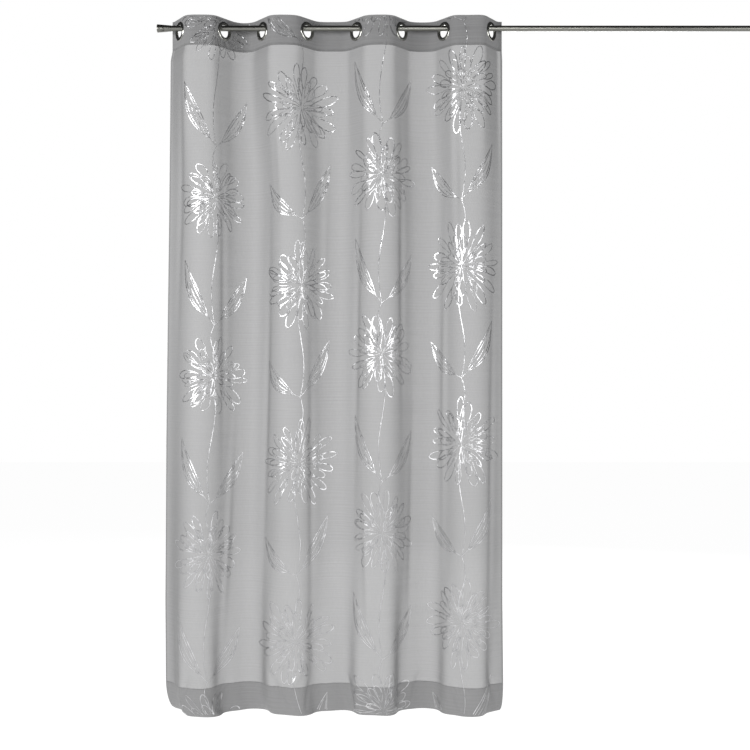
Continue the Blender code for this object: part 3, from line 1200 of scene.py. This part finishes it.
    def printed(self, spots: np.ndarray) -> np.ndarray:
        """Which places lie on the cloth and clear of the eyelets.

        Args:
            spots: flat coordinates and heights.

        Returns:
            True for each place that takes the print.
        """
        folds, flat, z = self.folds, spots[:, 0], spots[:, 1]
        kept = (flat > self.margin) & (flat < folds.flat_width - self.margin)
        kept &= (z < folds.top_edge - self.margin) & (z > folds.hem_bottom + self.margin)
        for place in folds.eyelet_flat:
            kept &= np.hypot(flat - place, z + folds.ring_drop) > self.ring_clear
        return kept

    def ribbons(self, lines: list[Stroke]) -> tuple[np.ndarray, list[tuple[int, ...]]]:
        """Turns lines into flat ribbons, left out where nothing is printed.

        Args:
            lines: the lines.

        Returns:
            Each vertex's flat coordinate and height, and the vertices of each face.
        """
        spots, faces, total = [], [], 0
        for line, width in lines:
            run = np.gradient(line, axis=0)
            length = np.maximum(np.linalg.norm(run, axis=1), 1e-9)
            swell = (1.0 - self.line_ends) * np.sin(np.linspace(0.0, np.pi, len(line)))
            half = width / 2.0 * (self.line_ends + swell)
            side = np.column_stack((-run[:, 1], run[:, 0])) * (half / length)[:, None]
            kept = self.printed(line + side) & self.printed(line - side)
            if not (kept[1:] & kept[:-1]).any():
                continue
            spots.append(np.stack((line - side, line + side), axis=1).reshape(-1, 2))
            for i in np.flatnonzero(kept[1:] & kept[:-1]):
                a = total + 2 * int(i)
                faces.append((a, a + 2, a + 3, a + 1))
            total += 2 * len(line)
        spots = np.vstack(spots)
        used = sorted({corner for face in faces for corner in face})
        place = {old: new for new, old in enumerate(used)}
        return spots[used], [tuple(place[c] for c in face) for face in faces]


# ---------------------------------------------------------------- turned metal
def turned(
    name: str, profile: list[tuple[float, float]], sides: int, closed: bool, turn: Matrix
) -> bpy.types.Mesh:
    """A mesh turned about Z from (radius, height) points, then moved into place.

    Args:
        name: the mesh's name.
        profile: the points. An open profile starts and ends on the axis.
        sides: how many sides the turning has.
        closed: whether the profile joins up, as a ring's does.
        turn: where it goes.

    Returns:
        The mesh, shaded smooth but for its sharp edges.
    """
    bm = bmesh.new()
    loops = []
    for radius, height in profile:
        if radius == 0.0:
            loops.append([bm.verts.new((0.0, 0.0, height))] * sides)
            continue
        ring = [math.tau * i / sides for i in range(sides)]
        loops.append(
            [bm.verts.new((radius * math.cos(t), radius * math.sin(t), height)) for t in ring]
        )
    pairs = list(zip(loops, loops[1:]))
    if closed:
        pairs.append((loops[-1], loops[0]))
    for low, high in pairs:
        for a in range(sides):
            b = (a + 1) % sides
            bm.faces.new(list(dict.fromkeys((low[a], low[b], high[b], high[a]))))
    bmesh.ops.recalc_face_normals(bm, faces=bm.faces[:])
    bm.transform(turn)
    mesh = bpy.data.meshes.new(name)
    bm.to_mesh(mesh)
    bm.free()
    mesh.shade_smooth()
    mesh.set_sharp_from_angle(angle=math.radians(42.0))
    return mesh


@dataclass
class Eyelets:
    """The eight eyelets, each a crowned front ring with its barrel and a flat back ring."""

    folds: FoldPlan
    ring_radius: float = 0.0325
    bore_radius: float = 0.0213
    barrel_wall: float = 0.0009
    crown: float = 0.003
    back_ring: float = 0.0019
    face: float = 0.00145
    gap: float = 0.0003
    sides: int = 64

    def front_profile(self) -> list[tuple[float, float]]:
        """The front ring with its barrel, heights towards the room.

        Returns:
            (radius, height) points.
        """
        barrel_end = -(self.face + self.back_ring - self.gap)
        span = self.ring_radius - self.bore_radius
        points = [(self.bore_radius, barrel_end + 0.0003), (self.bore_radius, self.face)]
        for t in np.linspace(0.02, 1.0, 12):
            rise = math.sqrt(max(0.0, 1.0 - ((t - 0.46) / 0.56) ** 2))
            points.append((self.bore_radius + span * t, self.face + self.crown * rise))
        outer = self.bore_radius + self.barrel_wall
        points += [(self.ring_radius, self.face), (outer, self.face), (outer, barrel_end)]
        return [*points, (outer - 0.0004, barrel_end - 0.0001)]

    def back_profile(self) -> list[tuple[float, float]]:
        """The flat back ring, heights towards the room.

        Returns:
            (radius, height) points.
        """
        washer = self.bore_radius + self.barrel_wall + self.gap
        span = self.ring_radius - washer
        points = [(washer, -self.face), (self.ring_radius - 0.0003, -self.face)]
        for t in np.linspace(1.0, 0.0, 9):
            rise = 0.55 + 0.45 * math.sqrt(max(0.0, 1.0 - ((t - 0.45) / 0.56) ** 2))
            points.append((washer + span * t * 0.985, -self.face - self.back_ring * rise))
        return points

    def build(self) -> list[bpy.types.Object]:
        """Makes the rings, each turned the way the cloth runs there.

        Returns:
            The sixteen halves.
        """
        nickel = NICKEL.dress()
        stand = Matrix.Rotation(math.radians(90.0), 4, "X")
        made = []
        for half, profile in (("front", self.front_profile()), ("back", self.back_profile())):
            for number in range(len(EYELETS)):
                place = self.folds.eyelet_place(number) @ stand
                name = f"eyelet_ring_{half}_{number + 1}"
                mesh = turned(name, profile, self.sides, True, place)
                mesh.materials.append(nickel)
                piece = fitted(name, mesh)
                made.append(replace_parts(piece, f"eyelet_{half}_{number + 1}"))
        return made


@dataclass
class CurtainRod:
    """The rod and the flared caps on its ends."""

    radius: float = 0.0095
    wall: float = 0.001
    left: float = -0.572
    length: float = 2.1
    cap_length: float = 0.0475
    cap_end: float = 0.01385
    cap_neck: float = 0.0102
    groove: float = 0.0009
    spigot: float = 0.025
    gap: float = 0.0003
    chamfer: float = 0.0012
    sides: int = 64

    def tube_profile(self) -> list[tuple[float, float]]:
        """The tube, open at both ends.

        Returns:
            (radius, height) points.
        """
        bore, soft = self.radius - self.wall, 0.0002
        return [
            (self.radius, soft),
            (self.radius, self.length - soft),
            (self.radius - soft, self.length),
            (bore, self.length),
            (bore, 0.0),
            (self.radius - soft, 0.0),
        ]

    def cap_profile(self) -> list[tuple[float, float]]:
        """The flared cap, with a turned groove and a spigot that goes into the tube.

        Returns:
            (radius, height) points.
        """
        spigot = self.radius - self.wall - self.gap
        middle, half = (self.cap_neck + self.cap_end) / 2.0, self.cap_length / 2.0
        return [
            (0.0, -self.spigot),
            (spigot - self.chamfer, -self.spigot),
            (spigot, self.chamfer - self.spigot),
            (spigot, self.gap),
            (self.cap_neck, self.gap),
            (self.cap_neck, 0.003),
            (middle, half - self.groove),
            (middle - 0.6 * self.groove, half - 0.4 * self.groove),
            (middle - self.groove, half),
            (middle - 0.6 * self.groove, half + 0.4 * self.groove),
            (middle, half + self.groove),
            (self.cap_end, self.cap_length - self.chamfer),
            (self.cap_end - 0.3 * self.chamfer, self.cap_length - 0.3 * self.chamfer),
            (self.cap_end - self.chamfer, self.cap_length),
            (0.0, self.cap_length),
        ]

    def build(self) -> list[bpy.types.Object]:
        """Makes the tube and its two caps.

        Returns:
            The three pieces.
        """
        steel = STEEL.dress()
        made = []
        right = self.left + self.length
        for name, node, profile, x, outward in (
            ("rod_tube", "rod", self.tube_profile(), self.left, 1),
            ("rod_cap_left", "finial_left", self.cap_profile(), self.left, -1),
            ("rod_cap_right", "finial_right", self.cap_profile(), right, 1),
        ):
            turn = Matrix.Rotation(math.radians(90.0 * outward), 4, "Y")
            place = Matrix.Translation((x, 0.0, 0.0)) @ turn
            mesh = turned(name, profile, self.sides, node == "rod", place)
            mesh.materials.append(steel)
            made.append(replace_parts(fitted(name, mesh), node))
        return made


# ---------------------------------------------------------------- the room
@dataclass
class Studio:
    """A pale floor, soft lights and the camera."""

    floor: float = -2.56
    reach: float = 14.0
    tone: float = 0.12
    glow: float = 0.97
    camera_place: tuple[float, float, float] = (0.135, -4.0, -1.201)
    lens: float = 55.4

    def build(self) -> None:
        """Sets up the whole studio."""
        self.paper()
        self.world()
        for name, place, aim, size, power in (
            ("key_left", (-2.9, -2.8, -0.5), (0.0, 0.0, -1.15), 1.8, 130.0),
            ("fill_right", (3.2, -2.2, -0.9), (0.2, 0.0, -1.2), 1.6, 48.0),
            ("front_box", (0.9, -6.2, -0.4), (0.2, 0.0, -0.6), 1.6, 105.0),
            ("back_box", (1.2, 4.6, 0.2), (0.0, 0.0, -1.0), 2.4, 150.0),
        ):
            self.soft_box(name, Vector(place), Vector(aim), size, power)
        data = bpy.data.cameras.new("camera")
        data.lens, data.sensor_width = self.lens, 36.0
        camera = bpy.data.objects.new("camera", data)
        camera.location = self.camera_place
        camera.rotation_euler = (math.radians(90.0), 0.0, 0.0)
        bpy.context.scene.collection.objects.link(camera)
        bpy.context.scene.camera = camera
        bpy.context.scene.view_settings.view_transform = "Standard"

    def paper(self) -> None:
        """The floor, one sheet of pale paper."""
        ends = (-self.reach, self.reach)
        spots = [(x, y, self.floor) for y in ends for x in ends]
        mesh = bpy.data.meshes.new("studio_floor")
        mesh.from_pydata(spots, [], [(0, 1, 3, 2)])
        material, shader = node_surface("studio_paper")
        shader.inputs["Base Color"].default_value = (self.tone, self.tone, self.tone, 1.0)
        shader.inputs["Roughness"].default_value = 0.9
        shader.inputs["Emission Color"].default_value = (1.0, 1.0, 1.0, 1.0)
        shader.inputs["Emission Strength"].default_value = self.glow
        mesh.materials.append(material)
        floor = bpy.data.objects.new("studio_floor", mesh)
        bpy.context.scene.collection.objects.link(floor)

    def world(self) -> None:
        """Pale to look at, and dimmer in what the metal mirrors."""
        world = bpy.data.worlds.new("studio")
        world.use_nodes = True
        nodes, links = world.node_tree.nodes, world.node_tree.links
        seen = nodes["Background"]
        seen.inputs["Color"].default_value = (1.0, 1.0, 1.0, 1.0)
        seen.inputs["Strength"].default_value = 1.0
        mirrored = nodes.new("ShaderNodeBackground")
        mirrored.inputs["Color"].default_value = (0.05, 0.05, 0.052, 1.0)
        path, mix = nodes.new("ShaderNodeLightPath"), nodes.new("ShaderNodeMixShader")
        links.new(path.outputs["Is Camera Ray"], mix.inputs["Fac"])
        links.new(mirrored.outputs["Background"], mix.inputs[1])
        links.new(seen.outputs["Background"], mix.inputs[2])
        links.new(mix.outputs["Shader"], nodes["World Output"].inputs["Surface"])
        bpy.context.scene.world = world

    def soft_box(self, name: str, place: Vector, aim: Vector, size: float, power: float) -> None:
        """A square soft light at a place, turned towards another.

        Args:
            name: the light's name.
            place: where it is.
            aim: what it is turned towards.
            size: the length of its side.
            power: its power, in watts.
        """
        data = bpy.data.lights.new(name, "AREA")
        data.size, data.energy = size, power
        light = bpy.data.objects.new(name, data)
        light.location = place
        light.rotation_euler = (aim - place).to_track_quat("-Z", "Y").to_euler()
        bpy.context.scene.collection.objects.link(light)


def main() -> None:
    """Builds the curtain, its eyelets, its rod and the studio."""
    logging.basicConfig(level=logging.INFO, format="%(message)s")
    folds = FoldPlan()
    curtain = Curtain(folds, SheetPattern(folds))
    panel, band, extras = curtain.build()
    prints = FoilPrint(folds).build()
    rings = Eyelets(folds).build()
    CurtainRod().build()
    Studio().build()


if __name__ == "__main__":
    main()
